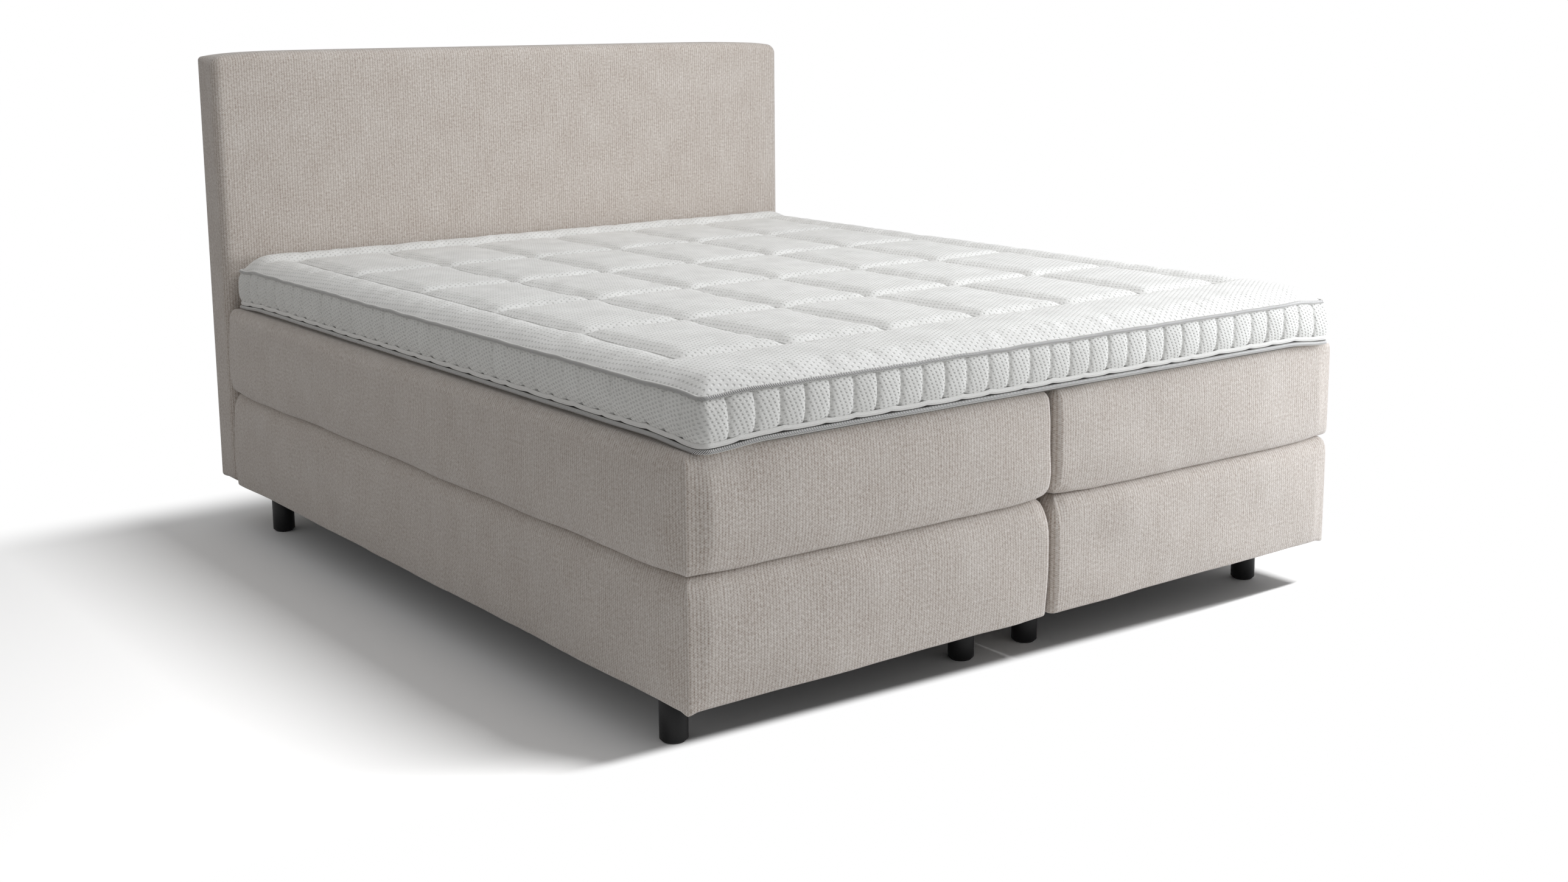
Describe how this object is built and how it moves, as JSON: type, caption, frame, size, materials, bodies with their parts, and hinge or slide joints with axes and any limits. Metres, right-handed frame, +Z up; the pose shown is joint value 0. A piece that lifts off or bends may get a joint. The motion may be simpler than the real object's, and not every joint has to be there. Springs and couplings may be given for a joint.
{
  "type": "box spring bed",
  "caption": "Double box spring bed: two upholstered sprung bases on round legs, two mattresses, one quilted topper with a zip, and a padded headboard.",
  "frame": {"origin": "on the floor, under the middle of the bed's bounding box", "axes": "+Y runs from the foot to the headboard, +X to the right seen from the foot, +Z up"},
  "size_m": [1.8104, 2.237, 1.234],
  "materials": {
    "upholstery": "matte",
    "knit": "matte",
    "cord": "matte",
    "foam": "matte",
    "pocket_cloth": "matte",
    "black_cloth": "matte",
    "zip_tape": "matte",
    "black_plastic": "satin",
    "pine": "satin",
    "plywood": "satin",
    "steel": "satin",
    "zinc": "satin"
  },
  "bodies": {
    "bed": {"leg_left_foot_outer": "black_plastic", "leg_left_foot_inner": "black_plastic", "leg_left_head_outer": "black_plastic", "leg_left_head_inner": "black_plastic", "leg_right_foot_outer": "black_plastic", "leg_right_foot_inner": "black_plastic", "leg_right_head_outer": "black_plastic", "leg_right_head_inner": "black_plastic", "base_left_foot_rail": "pine", "base_left_head_rail": "pine", "base_left_outer_rail": "pine", "base_left_inner_rail": "pine", "base_left_deck": "plywood", "base_left_spring_core": "pocket_cloth", "base_left_top_pad": "foam", "base_left_cover": "upholstery", "base_left_dust_cloth": "black_cloth", "mattress_left_bottom_foam": "foam", "mattress_left_top_foam": "foam", "mattress_left_foam_box": "foam", "mattress_left_pocket_core": "pocket_cloth", "mattress_left_cover": "upholstery", "mattress_left_bottom_panel": "knit", "base_right_foot_rail": "pine", "base_right_head_rail": "pine", "base_right_outer_rail": "pine", "base_right_inner_rail": "pine", "base_right_deck": "plywood", "base_right_spring_core": "pocket_cloth", "base_right_top_pad": "foam", "base_right_cover": "upholstery", "base_right_dust_cloth": "black_cloth", "mattress_right_bottom_foam": "foam", "mattress_right_top_foam": "foam", "mattress_right_foam_box": "foam", "mattress_right_pocket_core": "pocket_cloth", "mattress_right_cover": "upholstery", "mattress_right_bottom_panel": "knit", "base_link": "steel", "headboard_cover": "upholstery", "headboard_pad": "foam", "headboard_board": "plywood", "headboard_left_stile": "pine", "headboard_right_stile": "pine", "headboard_bottom_rail": "pine", "headboard_top_rail": "pine", "headboard_back_cloth": "black_cloth", "headboard_left_bracket": "steel", "headboard_right_bracket": "steel"},
    "topper": {"topper_core": "foam", "topper_bottom_panel": "knit", "topper_top_panel": "knit", "topper_border": "knit", "topper_top_piping": "cord", "topper_bottom_piping": "cord", "topper_zip_chain": "zip_tape"},
    "zip_slider": {"topper_zip_slider": "zinc"},
    "zip_pull": {"topper_zip_pull": "zinc"}
  },
  "joints": [
    {"name": "topper_lift", "type": "slide", "parent": "bed", "child": "topper", "axis": [0, 0, 1], "range_m": [0, 0.35]},
    {"name": "zip_slide", "type": "slide", "parent": "topper", "child": "zip_slider", "axis": [0, -1, 0], "range_m": [0, 1.968]},
    {"name": "zip_pull_swing", "type": "hinge", "parent": "zip_slider", "child": "zip_pull", "pos_m": [0.8708, 0.9244, 0.602], "axis": [0, 0, 1], "range_deg": [0, 175]}
  ]
}
